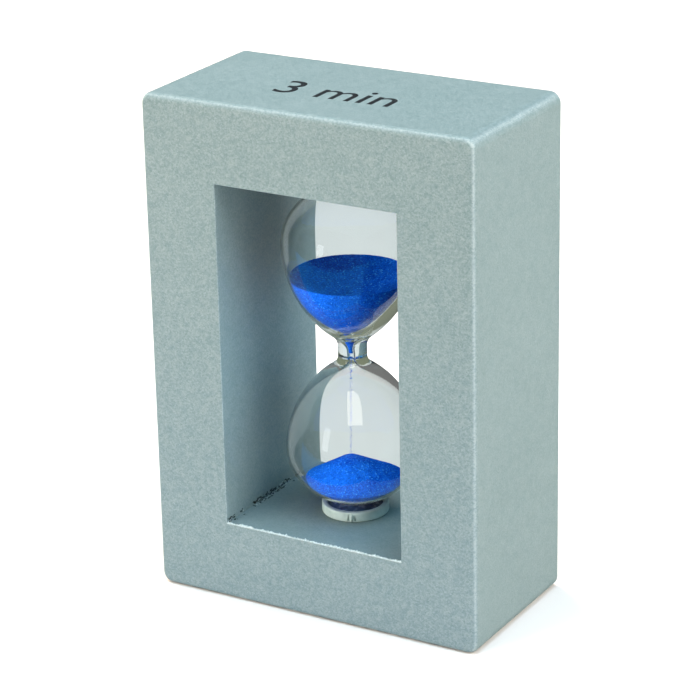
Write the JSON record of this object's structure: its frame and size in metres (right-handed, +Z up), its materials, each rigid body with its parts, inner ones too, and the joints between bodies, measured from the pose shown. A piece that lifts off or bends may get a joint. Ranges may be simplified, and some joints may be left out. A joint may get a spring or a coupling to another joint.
{
  "type": "sand timer",
  "caption": "Three-minute sand timer: a blown glass vial with blue sand, held between two seat cups in an open box frame of mitred boards.",
  "frame": {"origin": "middle of the underside, on the face that the timer stands on", "axes": "+Z up along the glass, +X to the right across the front, -Y out of the front of the frame"},
  "size_m": [0.07, 0.035, 0.1],
  "materials": {
    "frame_paint": "satin",
    "dowel_wood": "matte",
    "clear_glass": "gloss",
    "blue_sand": "matte",
    "cup_plastic": "satin",
    "set_glue": "satin",
    "stopper_rubber": "matte"
  },
  "bodies": {
    "root": {"top_board": "frame_paint", "bottom_board": "frame_paint", "left_board": "frame_paint", "right_board": "frame_paint", "corner_dowels": "dowel_wood", "glass_vial": "clear_glass", "fill_stopper": "stopper_rubber", "upper_sand": "blue_sand", "falling_sand": "blue_sand", "lower_sand": "blue_sand", "lower_seat_cup": "cup_plastic", "upper_seat_cup": "cup_plastic", "lower_cup_glue": "set_glue", "upper_cup_glue": "set_glue"}
  },
  "joints": []
}
